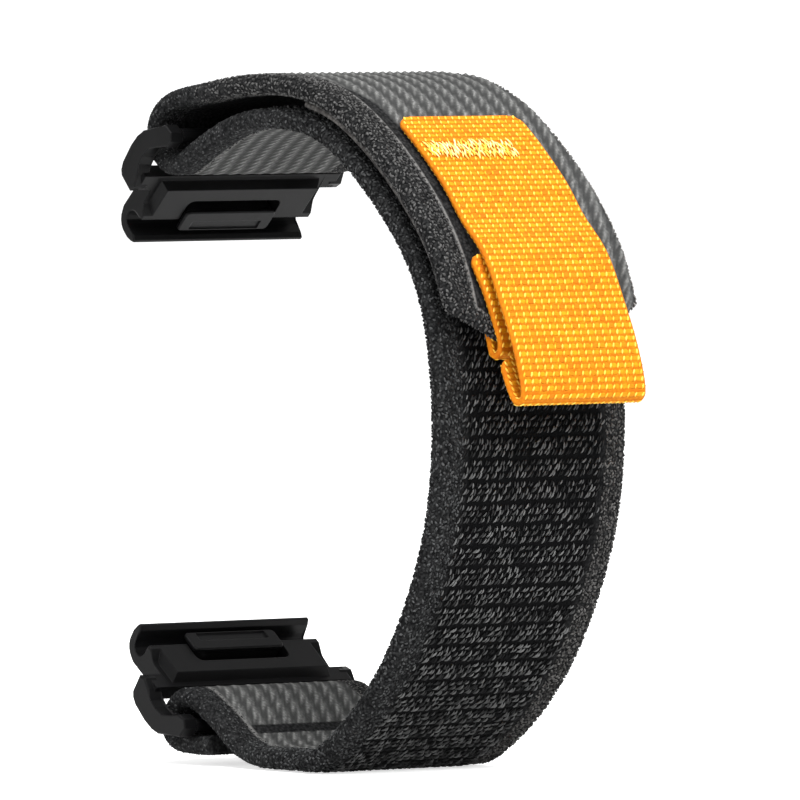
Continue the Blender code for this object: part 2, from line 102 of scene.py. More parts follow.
def tape_course(points, steps=20):
    """A tape's smooth middle line through points (x, z) in mm, as (line, length along it, outward normals)."""
    points = np.array(points, float) * mm
    chords = np.linalg.norm(np.diff(points, axis=0), axis=1)
    count = len(points)
    system, right = np.eye(count), np.zeros((count, 2))
    for i in range(1, count - 1):
        before, after = chords[i - 1], chords[i]
        system[i, i - 1 : i + 2] = before, 2 * (before + after), after
        right[i] = 6 * ((points[i + 1] - points[i]) / after - (points[i] - points[i - 1]) / before)
    bends = np.linalg.solve(system, right)
    line = []
    for i in range(count - 1):
        for t in np.linspace(0, 1, steps, endpoint=False):
            u = 1 - t
            bow = ((u**3 - u) * bends[i] + (t**3 - t) * bends[i + 1]) * chords[i] ** 2 / 6
            line.append(u * points[i] + t * points[i + 1] + bow)
    line = np.array(line + [points[-1]])
    lengths = np.concatenate([[0], np.cumsum(np.linalg.norm(np.diff(line, axis=0), axis=1))])
    heading = np.gradient(line, axis=0)
    heading /= np.linalg.norm(heading, axis=1)[:, None]
    return line, lengths, np.column_stack([heading[:, 1], -heading[:, 0]])


def on_tape(course, run, across, out):
    """Points at places on a tape, with the direction along it and the direction out of it at each."""
    line, lengths, normals = course
    run, across, out = np.broadcast_arrays(run, across, out)
    normal = np.stack([np.interp(run, lengths, normals[:, k]) for k in (0, 1)], axis=-1)
    normal /= np.linalg.norm(normal, axis=-1, keepdims=True)
    middle = np.stack([np.interp(run, lengths, line[:, k]) for k in (0, 1)], axis=-1)
    place = middle + normal * out[..., None]
    flat = np.zeros_like(run)
    points = np.stack([place[..., 0], across, place[..., 1]], axis=-1)
    along = np.stack([-normal[..., 1], flat, normal[..., 0]], axis=-1)
    outward = np.stack([normal[..., 0], flat, normal[..., 1]], axis=-1)
    return points, along, outward


def cloth_ring(width, thickness, edge, columns):
    """A tape's outline across: (across, out, share of the first face, and the way out of it at each point)."""
    half, top = width / 2 - edge, thickness / 2
    corner = np.radians(np.linspace(-75, 75, 6))
    second_columns = columns // 5
    ring = [(place, -top, 1.0, 0.0, -1.0) for place in np.linspace(half, -half, columns)]
    for turn in corner:
        across, out = math.cos(turn), math.sin(turn)
        ring.append((-(half + edge * across), top * out, 0.5 - turn / math.pi, -across, out))
    ring += [(place, top, 0.0, 0.0, 1.0) for place in np.linspace(-half, half, second_columns)]
    for turn in corner[::-1]:
        across, out = math.cos(turn), math.sin(turn)
        ring.append((half + edge * across, top * out, 0.5 - turn / math.pi, across, out))
    return np.array(ring)


def placed(name, data):
    """A new object in the scene, at the origin."""
    made = bpy.data.objects.new(name, data)
    bpy.context.scene.collection.objects.link(made)
    return made


def woven_tape(name, course, runs, ring, widths, shift=0.0, press=1.0):
    """A closed tape along its course, which keeps its ways out for its weave.

    Shift moves it sideways, and press thins it and leaves its first face in place.
    """
    run = np.repeat(runs[:, None], len(ring), axis=1)
    across = ring[None, :, 0] * widths[:, None]
    top = ring[:, 1].max()
    out = (ring[None, :, 1] + top) * np.broadcast_to(press, runs.shape)[:, None] - top
    points, _, outward = on_tape(course, run, across + np.broadcast_to(shift, runs.shape)[:, None], out)
    ways = outward * ring[None, :, 4, None] + width_way * ring[None, :, 3, None]
    rows, columns = run.shape
    index = np.arange(rows * columns).reshape(rows, columns)
    next_column = np.roll(index, -1, axis=1)
    faces = np.stack([index[:-1], next_column[:-1], next_column[1:], index[1:]], axis=-1).reshape(-1, 4)
    faces = [tuple(face) for face in faces] + [tuple(index[0][::-1]), tuple(index[-1])]
    mesh = bpy.data.meshes.new(name)
    mesh.from_pydata(points.reshape(-1, 3), [], faces)
    mesh.attributes.new("way", "FLOAT_VECTOR", "POINT").data.foreach_set("vector", ways.astype(np.float32).ravel())
    mesh.shade_smooth()
    ends = np.zeros((len(mesh.edges), 2), np.int32)
    mesh.edges.foreach_get("vertices", ends.ravel())
    at_end = (ends.max(axis=1) < columns) | (ends.min(axis=1) >= (rows - 1) * columns)
    mesh.attributes.new("sharp_edge", "BOOLEAN", "EDGE").data.foreach_set("value", at_end)
    return placed(name, mesh), run, across


def add_node(tree, kind, inputs=(), **settings):
    """One node with its settings and its inputs, each a plain value or another node's socket."""
    made = tree.nodes.new(kind)
    for key, value in settings.items():
        setattr(made, key, value)
    for key, value in dict(inputs).items():
        if isinstance(value, bpy.types.NodeSocket):
            tree.links.new(value, made.inputs[key])
        else:
            made.inputs[key].default_value = value
    return made


def maths(tree, operation, *values):
    """The result of one operation on plain values or other nodes' sockets."""
    return add_node(tree, "ShaderNodeMath", dict(enumerate(values)), operation=operation).outputs[0]


def attribute_input(tree, name, kind="FLOAT"):
    """A value that a mesh keeps, in a Geometry Nodes tree."""
    return add_node(tree, "GeometryNodeInputNamedAttribute", {"Name": name}, data_type=kind).outputs["Attribute"]


def new_tree(name, inputs):
    """An empty Geometry Nodes tree with named inputs; it gives back the tree and its two end nodes."""
    tree = bpy.data.node_groups.new(name, "GeometryNodeTree")
    tree.interface.new_socket("Geometry", in_out="OUTPUT", socket_type="NodeSocketGeometry")
    tree.interface.new_socket("Geometry", in_out="INPUT", socket_type="NodeSocketGeometry")
    for label, kind, value in inputs:
        socket = tree.interface.new_socket(label, in_out="INPUT", socket_type=kind)
        if value is not None:
            socket.default_value = value
    return tree, tree.nodes.new("NodeGroupInput"), tree.nodes.new("NodeGroupOutput")


def grown(made, tree, **values):
    """Gives an object the plain mesh that a tree makes of it, with the tree's inputs set by name."""
    change = made.modifiers.new(tree.name, "NODES")
    change.node_group = tree
    for socket in tree.interface.items_tree:
        label = socket.name.lower().replace(" ", "_")
        if socket.in_out == "INPUT" and label in values:
            change[socket.identifier] = values[label]
    bpy.context.view_layer.update()
    graph = bpy.context.evaluated_depsgraph_get()
    mesh = bpy.data.meshes.new_from_object(made.evaluated_get(graph))
    made.modifiers.remove(change)
    made.data = mesh


def end_tree(tree, geometry, finish, result):
    """Ends a tree in real copies and in their finish."""
    realised = add_node(tree, "GeometryNodeRealizeInstances", {"Geometry": geometry})
    finished = add_node(
        tree, "GeometryNodeSetMaterial", {"Geometry": realised.outputs["Geometry"], "Material": finish}
    )
    tree.links.new(finished.outputs["Geometry"], result.inputs["Geometry"])


def new_finish(name, roughness, specular, metallic=0.0):
    """A node material for one finish; it gives back the material, its tree and its shader."""
    made = bpy.data.materials.new(name)
    made.use_nodes = True
    shader = made.node_tree.nodes["Principled BSDF"]
    shader.inputs["Roughness"].default_value = roughness
    shader.inputs["Specular IOR Level"].default_value = specular
    shader.inputs["Metallic"].default_value = metallic
    return made, made.node_tree, shader


def shader_attribute(tree, name):
    """A value that a mesh keeps, in a material."""
    return add_node(tree, "ShaderNodeAttribute", attribute_name=name).outputs["Fac"]


def blend_colours(tree, share, first, second):
    """A colour that goes from the first to the second as the share goes from 0 to 1."""
    return add_node(tree, "ShaderNodeMix", {"Factor": share, 6: first, 7: second}, data_type="RGBA").outputs[2]


def twill_ropes(tree, rope, bead):
    """Height of the twill, from 0 in a groove to 1 on a bead: its ropes run nearly lengthwise, in short beads."""
    beads = maths(tree, "SINE", maths(tree, "MULTIPLY", bead, 2 * math.pi / bead_step))
    place = maths(tree, "MULTIPLY_ADD", beads, rib_wander, rope)
    crest = maths(tree, "SINE", maths(tree, "MULTIPLY", place, 2 * math.pi / rib_pitch))
    crest = maths(tree, "POWER", maths(tree, "MULTIPLY_ADD", crest, 0.5, 0.5), rib_sharpness)
    return maths(tree, "MULTIPLY", crest, maths(tree, "MULTIPLY_ADD", beads, bead_depth, 1 - bead_depth))


# The cloth's relief: each point moves out of the cloth by the height of the twill's ropes and of a fine fuzz.
relief, given, result = new_tree(
    "twill_relief",
    (
        ("Rib Height", "NodeSocketFloat", rib_height),
        ("Fuzz Height", "NodeSocketFloat", 0.10 * mm),
        ("Fuzz Scale", "NodeSocketFloat", 2300.0),
        ("Finish", "NodeSocketMaterial", None),
    ),
)
fuzz_middle = 0.45
rope, bead, raised = (attribute_input(relief, key) for key in ("rope", "bead", "raised"))
ribs = maths(relief, "MULTIPLY", twill_ropes(relief, rope, bead), raised)
fuzz = add_node(relief, "ShaderNodeTexNoise", {"Scale": given.outputs["Fuzz Scale"], "Detail": 2.0}).outputs["Fac"]
fuzz_lift = maths(relief, "MULTIPLY", maths(relief, "SUBTRACT", fuzz, fuzz_middle), given.outputs["Fuzz Height"])
lift = add_node(
    relief, "ShaderNodeVectorMath", {0: attribute_input(relief, "way", "FLOAT_VECTOR")}, operation="SCALE"
)
relief.links.new(
    maths(relief, "MULTIPLY_ADD", ribs, given.outputs["Rib Height"], fuzz_lift), lift.inputs["Scale"]
)
moved = add_node(
    relief, "GeometryNodeSetPosition", {"Geometry": given.outputs["Geometry"], "Offset": lift.outputs[0]}
)
end_tree(relief, moved.outputs["Geometry"], given.outputs["Finish"], result)

# A weave's short yarn bumps, on the strap's own cloth and on the tapes sewn to it. Their speckle is painted shade
# towards each bump's rim, over the yarns' random tone.
grain_scale, cell_depth = 900.0, 1.3
yarn_speckle = bpy.data.node_groups.new("yarn_speckle", "ShaderNodeTree")
for label, kind, way in (
    ("Scale", "NodeSocketFloat", "INPUT"),
    ("Speckle", "NodeSocketFloat", "OUTPUT"),
    ("Height", "NodeSocketFloat", "OUTPUT"),
):
    yarn_speckle.interface.new_socket(label, in_out=way, socket_type=kind)
speckle_in, speckle_out = yarn_speckle.nodes.new("NodeGroupInput"), yarn_speckle.nodes.new("NodeGroupOutput")
speckle_place = add_node(yarn_speckle, "ShaderNodeTexCoord").outputs["Object"]
cells = add_node(yarn_speckle, "ShaderNodeTexVoronoi", {"Vector": speckle_place, "Scale": speckle_in.outputs["Scale"]})
grains = add_node(yarn_speckle, "ShaderNodeTexNoise", {"Vector": speckle_place, "Scale": grain_scale, "Detail": 3.0})
bumps = maths(yarn_speckle, "SUBTRACT", 1.0, maths(yarn_speckle, "MULTIPLY", cells.outputs["Distance"], cell_depth))
yarn_speckle.links.new(bumps, speckle_out.inputs["Height"])
# The speckle is the bumps' height times a random grain: painted shade towards each rim, and the yarns' own random tone.
yarn_speckle.links.new(maths(yarn_speckle, "MULTIPLY", bumps, grains.outputs["Fac"]), speckle_out.inputs["Speckle"])

weave_scale, weave_strength, weave_depth = 3000.0, 0.8, 0.10 * mm
rope_speckle, rope_shade = 1.3, 0.45
strap_finish, tree, shader = new_finish("strap_weave", roughness=0.9, specular=0.05)
rope, bead, twill, line, piled = (shader_attribute(tree, key) for key in ("rope", "bead", "twill", "line", "piled"))
ropes = twill_ropes(tree, rope, bead)
speckle = add_node(tree, "ShaderNodeGroup", {"Scale": weave_scale}, node_tree=yarn_speckle)
rope_light = maths(tree, "MULTIPLY_ADD", speckle.outputs["Speckle"], rope_speckle, rope_shade)
rough_ropes = maths(tree, "MULTIPLY", ropes, rope_light)
# The twill's colour follows the ropes' height: painted shade in the grooves between them, painted light on the beads.
twill_colour = blend_colours(tree, rough_ropes, twill_valley_shaded, twill_ridge_lit)
plain_colour = blend_colours(tree, speckle.outputs["Speckle"], plain_dark, plain_light)
# Under the pile the colour is the ground's, darkened by painted shade.
colour = blend_colours(tree, line, blend_colours(tree, piled, plain_colour, shaded_pile_ground), line_light)
tree.links.new(blend_colours(tree, twill, colour, twill_colour), shader.inputs["Base Color"])
weave_height = maths(tree, "MULTIPLY_ADD", ropes, twill, speckle.outputs["Height"])
bump = add_node(
    tree, "ShaderNodeBump", {"Height": weave_height, "Strength": weave_strength, "Distance": weave_depth}
)
tree.links.new(bump.outputs["Normal"], shader.inputs["Normal"])

strap = tape_course(strap_course)
strap_length = strap[1][-1]
width_runs = np.append(spread_runs, [strap_length - tongue_length, strap_length])
width_shares = np.array(
    [1, 1, spread_share, spread_share, 1, 1, spread_share, spread_share, tongue_width / strap_width]
)
press_runs = np.array([0, strap_length - press_first, strap_length - press_last])
press_shares = np.array([1, 1, press_share])
# The band and the tail are one cloth, made as two pieces because the tail peels off past the upper clip.
peel_places = [on_tape(strap, np.array([at]), 0.0, 0.0)[0][0] for at in (peel_first, peel_last)]
for name, node, first, last, step, columns, near_plain, far_plain in (
    ("strap_cloth", "strap_band", 0.0, band_end, 0.205 * mm, 84, plain_edge, plain_edge),
    ("tail_cloth", "strap_tail", band_end, strap_length, 0.155 * mm, 120, tail_near_plain, tail_far_plain),
):
    runs = np.linspace(first, last, int((last - first) / step))
    ring = cloth_ring(strap_width, strap_thickness, strap_edge, columns)
    shares = np.interp(runs, width_runs, width_shares)
    cloth, run, across = woven_tape(name, strap, runs, ring, shares, press=np.interp(runs, press_runs, press_shares))
    half_width = strap_width / 2 * shares[:, None]
    from_near, from_far = half_width + across, half_width - across
    near_plain = near_plain + np.interp(run, wide_runs, wide_plain)
    wrist_face = ring[None, :, 2] > 0.9
    in_groove = (run > groove_first) & (run < groove_last)
    twill = np.clip((from_near - near_plain) / twill_fade, 0, 1) * np.clip((from_far - far_plain) / twill_fade, 0, 1)
    # No twill in the sewn groove, so it shows the dark plain colour there: painted shade in the groove.
    twill = np.where(wrist_face & ~in_groove, twill, 0)
    raised = twill * (least_relief + (1 - least_relief) * np.interp(run, free_runs, free_shares))
    line = wrist_face & (np.abs(from_near - plain_edge) < line_half)
    outer_face = ring[None, :, 2] < 0.1
    piled = outer_face & (np.abs(across) < ground_half) & (run > ground_first) & (run < ground_last)
    rope = across + np.interp(run, drift_runs, drift_across)
    for key, values in (
        ("rope", rope),
        ("bead", across + run * bead_slant),
        ("twill", twill),
        ("raised", raised),
        ("line", line),
        ("piled", piled),
    ):
        kept = cloth.data.attributes.new(key, "FLOAT", "POINT")
        kept.data.foreach_set("value", np.broadcast_to(values, run.shape).astype(np.float32).ravel())
    grown(cloth, relief, finish=strap_finish)
    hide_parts(node)
    if node == "strap_band":
        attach(cloth, "strap")
    else:
        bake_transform(cloth)

# The loop pile: slanted loops of thick nylon yarn that stand in rows across the strap's outer face, between
# the plain edges. The hooks under the tail catch in them.
pile_first, pile_last, pile_row = 25 * mm, 127 * mm, 2.05 * mm
pile_near, pile_far, pile_column = -8.5 * mm, 8.1 * mm, 0.90 * mm
pile_lean = math.tan(math.radians(27))
loop_length, loop_width, loop_rise = 0.80 * mm, 0.20 * mm, 0.13 * mm
small_length, small_rise = loop_length * 0.85, loop_rise * 0.8
strand_gap = 0.30 * mm
pair_jitter, strand_jitter = 0.06, 0.08
loop_dark = (0.004, 0.0042, 0.0045, 1)
loop_light = (0.138, 0.139, 0.138, 1)
fibre_swing, fibre_least = 1.2, 0.4
fibre_strength, fibre_depth = 0.4, 0.05 * mm


def points_with_directions(name, points, along, outward):
    """Loose points that each keep the directions a yarn on them takes."""
    mesh = bpy.data.meshes.new(name)
    mesh.from_pydata(points.reshape(-1, 3), [], [])
    for key, values in (("along", along), ("outward", outward)):
        mesh.attributes.new(key, "FLOAT_VECTOR", "POINT").data.foreach_set(
            "vector", values.astype(np.float32).ravel()
        )
    return placed(name, mesh)


def yarn_shape(name, length, width, height, stations, sides, bow=0.0, taper=0.45):
    """One short yarn along X: a closed, tapered tube; bow lifts its middle into a loop."""
    points, faces = [(-length / 2, 0, 0)], []
    for i in range(1, stations + 1):
        share = i / (stations + 1)
        swell = math.sin(math.pi * share) ** taper
        for j in range(sides):
            turn = 2 * math.pi * j / sides
            lift = bow * math.sin(math.pi * share)
            points.append(
                (length * (share - 0.5), width / 2 * swell * math.cos(turn), height / 2 * swell * math.sin(turn) + lift)
            )
    points.append((length / 2, 0, 0))
    last = len(points) - 1
    for j in range(sides):
        k = (j + 1) % sides
        faces.append((0, 1 + k, 1 + j))
        for i in range(stations - 1):
            a, b = 1 + i * sides, 1 + (i + 1) * sides
            faces.append((a + j, a + k, b + k, b + j))
        faces.append((last, 1 + (stations - 1) * sides + j, 1 + (stations - 1) * sides + k))
    mesh = bpy.data.meshes.new(name)
    mesh.from_pydata(points, [], faces)
    mesh.shade_smooth()
    return placed(name, mesh)


# Yarns laid on points: each one lies along its point's directions, turned and sized at random, and has a shade of
# its own.
laid_yarn, given, result = new_tree(
    "laid_yarn",
    (
        ("Yarn", "NodeSocketObject", None),
        ("Turn", "NodeSocketFloat", 0.3),
        ("Tilt", "NodeSocketFloat", 0.15),
        ("Least Size", "NodeSocketFloat", 0.85),
        ("Greatest Size", "NodeSocketFloat", 1.15),
        ("Seed", "NodeSocketInt", 1),
        ("Finish", "NodeSocketMaterial", None),
    ),
)


def random_value(tree, least, greatest, seed):
    """A random value for each yarn."""
    inputs = {2: least, 3: greatest, 8: seed}
    return add_node(tree, "FunctionNodeRandomValue", inputs, data_type="FLOAT").outputs[1]


facing = add_node(
    laid_yarn,
    "FunctionNodeAxesToRotation",
    {
        "Primary Axis": attribute_input(laid_yarn, "outward", "FLOAT_VECTOR"),
        "Secondary Axis": attribute_input(laid_yarn, "along", "FLOAT_VECTOR"),
    },
    primary_axis="Z",
    secondary_axis="X",
).outputs["Rotation"]
for axis, label, shift in (((0, 0, 1), "Turn", 0), ((0, 1, 0), "Tilt", 1)):
    least = maths(laid_yarn, "MULTIPLY", given.outputs[label], -1.0)
    seed = maths(laid_yarn, "ADD", given.outputs["Seed"], float(shift))
    swing = add_node(
        laid_yarn,
        "FunctionNodeAxisAngleToRotation",
        {"Axis": axis, "Angle": random_value(laid_yarn, least, given.outputs[label], seed)},
    )
    facing = add_node(
        laid_yarn,
        "FunctionNodeRotateRotation",
        {"Rotation": facing, "Rotate By": swing.outputs["Rotation"]},
        rotation_space="LOCAL",
    ).outputs["Rotation"]
size = random_value(
    laid_yarn,
    given.outputs["Least Size"],
    given.outputs["Greatest Size"],
    maths(laid_yarn, "ADD", given.outputs["Seed"], 2.0),
)
copies = add_node(
    laid_yarn,
    "GeometryNodeInstanceOnPoints",
    {
        "Points": given.outputs["Geometry"],
        "Instance": add_node(
            laid_yarn, "GeometryNodeObjectInfo", {"Object": given.outputs["Yarn"]}, transform_space="ORIGINAL"
        ).outputs["Geometry"],
        "Rotation": facing,
        "Scale": size,
    },
)
shade = random_value(laid_yarn, 0.0, 1.0, maths(laid_yarn, "ADD", given.outputs["Seed"], 3.0))
shaded = add_node(
    laid_yarn,
    "GeometryNodeStoreNamedAttribute",
    {"Geometry": copies.outputs["Instances"], "Name": "yarn_shade", "Value": shade},
    data_type="FLOAT",
    domain="INSTANCE",
)
end_tree(laid_yarn, shaded.outputs["Geometry"], given.outputs["Finish"], result)


def yarn_finish(name, dark, light, roughness, specular, fibre_scale, rarity=1.0):
    """Yarn whose shade changes from one piece to the next, with fine fibres; a high rarity makes few light ones."""
    made, tree, shader = new_finish(name, roughness, specular)
    fibres = add_node(
        tree,
        "ShaderNodeTexNoise",
        {"Vector": add_node(tree, "ShaderNodeTexCoord").outputs["Object"], "Scale": fibre_scale, "Detail": 3.0},
    ).outputs["Fac"]
    shade = maths(tree, "POWER", shader_attribute(tree, "yarn_shade"), rarity)
    shade = maths(tree, "MULTIPLY", shade, maths(tree, "MULTIPLY_ADD", fibres, fibre_swing, fibre_least))
    tree.links.new(blend_colours(tree, shade, dark, light), shader.inputs["Base Color"])
    bump = add_node(
        tree, "ShaderNodeBump", {"Height": fibres, "Strength": fibre_strength, "Distance": fibre_depth}
    )
    tree.links.new(bump.outputs["Normal"], shader.inputs["Normal"])
    return made


def leaning(along, across_share):
    """The directions along a tape, turned towards its width by one share or by one for each."""
    turned = along + width_way * np.broadcast_to(across_share, along.shape[:-1])[..., None]
    return turned / np.linalg.norm(turned, axis=-1, keepdims=True)


loop_finish = yarn_finish(
    "loop_yarn", loop_dark, loop_light, roughness=0.7, specular=0.10, fibre_scale=2500.0, rarity=1.5
)
loop_yarn = yarn_shape("loop_yarn_shape", loop_length, loop_width, loop_width, stations=4, sides=4, bow=loop_rise)
small_yarn = yarn_shape("small_loop_shape", small_length, loop_width, loop_width, stations=3, sides=4, bow=small_rise)
rows = np.arange(pile_first, pile_last, pile_row)
columns = np.arange(pile_near, pile_far, pile_column)
row, column, strand = np.meshgrid(rows, columns, (-0.5, 0.5), indexing="ij")
shuffle = np.random.default_rng(7)
for name, shape, row_shift, column_shift, seed, turn, height in (
    ("pile_loops", loop_yarn, 0.0, 0.0, 11, 0.22, 0.10),
    ("pile_small_loops", loop_yarn, 0.28, 0.5, 12, 0.35, 0.06),
    ("pile_ground_loops", small_yarn, 0.55, 0.1, 13, 0.5, 0.05),
):
    pair_move = shuffle.uniform(-pair_jitter, pair_jitter, (2,) + row.shape[:2] + (1,)) * mm
    strand_move = shuffle.uniform(-strand_jitter, strand_jitter, row.shape) * mm
    run = row + row_shift * pile_row + pair_move[0] + strand_move
    across = column + column_shift * pile_column + pair_move[1] + strand * strand_gap
    points, along, outward = on_tape(strap, run, across, strap_thickness / 2 + height * mm)
    made = points_with_directions(name, points, leaning(along, pile_lean), outward)
    grown(
        made,
        laid_yarn,
        yarn=shape,
        turn=turn,
        tilt=0.2,
        least_size=0.8,
        greatest_size=1.15,
        seed=seed,
        finish=loop_finish,
    )
    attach(made, "strap")

# The plain edges: fine nylon yarn round both edges of the tape, part of the strap's own weave. It is rough to the
# touch, makes the outline bumpy, and is paler along the far edge and on the tail.
edge_reach = plain_edge - 0.1 * mm
edge_pitch = 0.31 * mm
run_jitter, place_jitter = 0.14, 0.12
edge_lift, edge_sink, edge_seat = 0.10, 0.08, 0.93
edge_first, edge_end, tail_wrist_reach = 0.3 * mm, 0.2 * mm, -0.3 * mm
edge_yarn = yarn_shape(
    "edge_yarn_shape", length=0.40 * mm, width=0.21 * mm, height=0.18 * mm, stations=2, sides=4, bow=0.04 * mm
)
near_finish, tail_near_finish, far_finish, tail_far_finish = (
    yarn_finish(name, dark, light, roughness=0.8, specular=specular, fibre_scale=2500.0, rarity=rarity)
    for name, dark, light, specular, rarity in (
        ("near_edge_yarn", (0.004, 0.0041, 0.0044, 1), (0.075, 0.077, 0.078, 1), 0.06, 1.3),
        ("tail_near_edge_yarn", (0.016, 0.016, 0.0165, 1), (0.112, 0.111, 0.109, 1), 0.06, 1.1),
        ("far_edge_yarn", (0.026, 0.0255, 0.025, 1), (0.125, 0.122, 0.118, 1), 0.08, 1.2),
        ("tail_far_edge_yarn", (0.09, 0.087, 0.084, 1), (0.26, 0.25, 0.24, 1), 0.12, 1.0),
    )
)
side_run = strap_thickness / 2
for name, side, first, last, wrist_reach, finish in (
    ("edge_yarns_near", -1, edge_first, band_end, edge_reach - strap_edge, near_finish),
    ("edge_yarns_far", 1, edge_first, band_end, edge_reach - strap_edge, far_finish),
    ("tail_edge_yarns_near", -1, band_end, strap_length - edge_end, edge_reach - strap_edge, tail_near_finish),
    ("tail_edge_yarns_far", 1, band_end, strap_length - edge_end, tail_wrist_reach, tail_far_finish),
):
    around = np.arange(-side_run - wrist_reach, side_run + edge_reach - strap_edge, edge_pitch)
    run, place = np.meshgrid(np.arange(first, last, edge_pitch), around, indexing="ij")
    run = np.clip(run + shuffle.uniform(-run_jitter, run_jitter, run.shape) * mm, first, last)
    place = place + shuffle.uniform(-place_jitter, place_jitter, run.shape) * mm
    half_width = np.interp(run, width_runs, width_shares) * strap_width / 2
    turn = np.clip(place / side_run, -1, 1) * math.pi / 2
    inset = strap_edge * (1 - np.cos(turn)) + np.maximum(np.abs(place) - side_run, 0)
    out = (side_run * np.sin(turn) + side_run) * np.interp(run, press_runs, press_shares) - side_run
    free = np.interp(run, free_runs, free_shares)
    across = side * (half_width - inset + (edge_lift * free - edge_sink) * mm)
    points, along, outward = on_tape(strap, run, across, out * (edge_seat + edge_lift * free))
    sideways = np.zeros_like(outward)
    sideways[..., 1] = side
    outward = outward * np.sin(turn)[..., None] + sideways * np.cos(turn)[..., None]
    made = points_with_directions(name, points, along, outward)
    grown(
        made,
        laid_yarn,
        yarn=edge_yarn,
        turn=1.3,
        tilt=0.2,
        least_size=0.8,
        greatest_size=1.2,
        seed=21 + side,
        finish=finish,
    )
    if name.startswith("tail"):
        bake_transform(made)
    else:
        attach(made, "strap")

# The hook patch: a strip of stiff nylon hook tape, 28 mm long, 21 mm wide and 0.5 mm thick. It is sewn under the
# tail, and its small hooks hold the tail in the pile.
hook_width, hook_thickness, hook_edge = 21 * mm, 0.5 * mm, 0.2 * mm
hook_rows, hook_columns = 110, 60
hook_pitch, hook_reach, hook_seat = 0.75 * mm, 9.8 * mm, 0.24 * mm
hook_first, hook_end, hook_slack = 0.8 * mm, 0.6 * mm, 0.1 * mm
hook_course = (
    (-0.25, 63.51), (2.79, 62.65), (5.87, 61.17), (8.76, 59.29), (11.45, 57.16), (13.98, 54.85),
    (16.32, 52.34), (18.41, 49.52), (20.02, 46.32), (20.23, 45.77),
)


def speckled_finish(name, dark, light, roughness, specular, scale, strength, depth):
    """A woven ground whose short yarn bumps go from a dark colour to a light one, with painted shade at their rims."""
    made, tree, shader = new_finish(name, roughness, specular)
    speckle = add_node(tree, "ShaderNodeGroup", {"Scale": scale}, node_tree=yarn_speckle)
    tree.links.new(blend_colours(tree, speckle.outputs["Speckle"], dark, light), shader.inputs["Base Color"])
    bump = add_node(
        tree, "ShaderNodeBump", {"Height": speckle.outputs["Height"], "Strength": strength, "Distance": depth}
    )
    tree.links.new(bump.outputs["Normal"], shader.inputs["Normal"])
    return made


hook_finish = speckled_finish(
    "hook_tape",
    (0.030, 0.028, 0.027, 1),
    (0.20, 0.19, 0.18, 1),
    roughness=0.75,
    specular=0.15,
    scale=2200.0,
    strength=0.7,
    depth=0.1 * mm,
)
patch = tape_course(hook_course)
patch_length = patch[1][-1]
hook_patch, _, _ = woven_tape(
    "hook_tape_base",
    patch,
    np.linspace(0, patch_length, hook_rows),
    cloth_ring(hook_width, hook_thickness, hook_edge, hook_columns),
    np.ones(hook_rows),
)
grown(hook_patch, relief, rib_height=0.0, fuzz_height=0.06 * mm, finish=hook_finish)
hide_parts("hook_patch")
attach(hook_patch, "tail")
hook_shape = yarn_shape(
    "hook_shape", length=0.42 * mm, width=0.10 * mm, height=0.10 * mm, stations=4, sides=4, bow=0.30 * mm
)
run, across = np.meshgrid(
    np.arange(hook_first, patch_length - hook_end, hook_pitch),
    np.arange(-hook_reach, hook_reach + hook_slack, hook_pitch),
    indexing="ij",
)
points, along, outward = on_tape(patch, run, across, hook_seat)
hooks = points_with_directions("tape_hooks", points, along, outward)
wire_dark, wire_light = (0.05, 0.048, 0.046, 1), (0.14, 0.135, 0.13, 1)
hook_wire = yarn_finish("hook_wire", wire_dark, wire_light, roughness=0.5, specular=0.2, fibre_scale=1500.0)
grown(
    hooks,
    laid_yarn,
    yarn=hook_shape,
    turn=0.3,
    tilt=0.2,
    least_size=0.9,
    greatest_size=1.1,
    seed=31,
    finish=hook_wire,
)
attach(hooks, "tail")

# The webbing: orange plain-weave nylon tape, 15 mm wide and 0.62 mm thick. One short piece is folded round the
# tail's tongue as its binding, a little askew, and a longer one is sewn over it as the pull tab, which stands off
# the strap and folds back under itself.
webbing_width, webbing_thickness, webbing_edge = 15 * mm, 0.62 * mm, 0.25 * mm
webbing_step, webbing_columns = 0.2 * mm, 40
warp_pitch, weft_pitch = 0.89 * mm, 0.66 * mm
warp_slant, warp_lift, weft_inset, yarn_margin = -0.45, 0.03 * mm, 0.25 * mm, 0.3 * mm
warp_slack = 0.01 * mm
askew_run = 8.5 * mm
# Painted shade: the weft and the ground between the floats take darker oranges than the warp floats.
webbing_gap_shade = (0.50, 0.130, 0.0025, 1)
webbing_mid = (0.68, 0.280, 0.005, 1)
float_dark = (0.76, 0.370, 0.010, 1)
# Painted highlight: the warp floats turn yellow on their tops.
float_highlight = (0.88, 0.610, 0.095, 1)
corner_round = 1.4 * mm
binding_course = (
    (21.66, 49.68), (23.09, 46.37), (24.00, 43.07), (24.33, 41.37), (24.32, 40.95), (24.20, 40.60),
    (23.98, 40.34), (23.70, 40.20), (23.40, 40.22), (23.14, 40.38), (22.98, 40.64), (22.72, 41.50),
    (21.90, 43.20),
)
tab_course = (
    (9.66, 62.21), (12.38, 60.17), (14.97, 57.91), (17.43, 55.47), (19.62, 52.84), (22.14, 50.45),
    (23.26, 49.05), (25.02, 45.83), (26.69, 42.49), (28.02, 39.03), (28.49, 36.84), (28.49, 36.65),
    (28.47, 36.53), (28.42, 36.40), (28.35, 36.28), (28.24, 36.17), (28.11, 36.07), (27.97, 36.01),
    (27.84, 35.97), (27.68, 35.96), (27.52, 35.98), (27.37, 36.03), (27.25, 36.10), (27.16, 36.18),
    (27.07, 36.28), (25.39, 39.25), (24.95, 39.94),
)
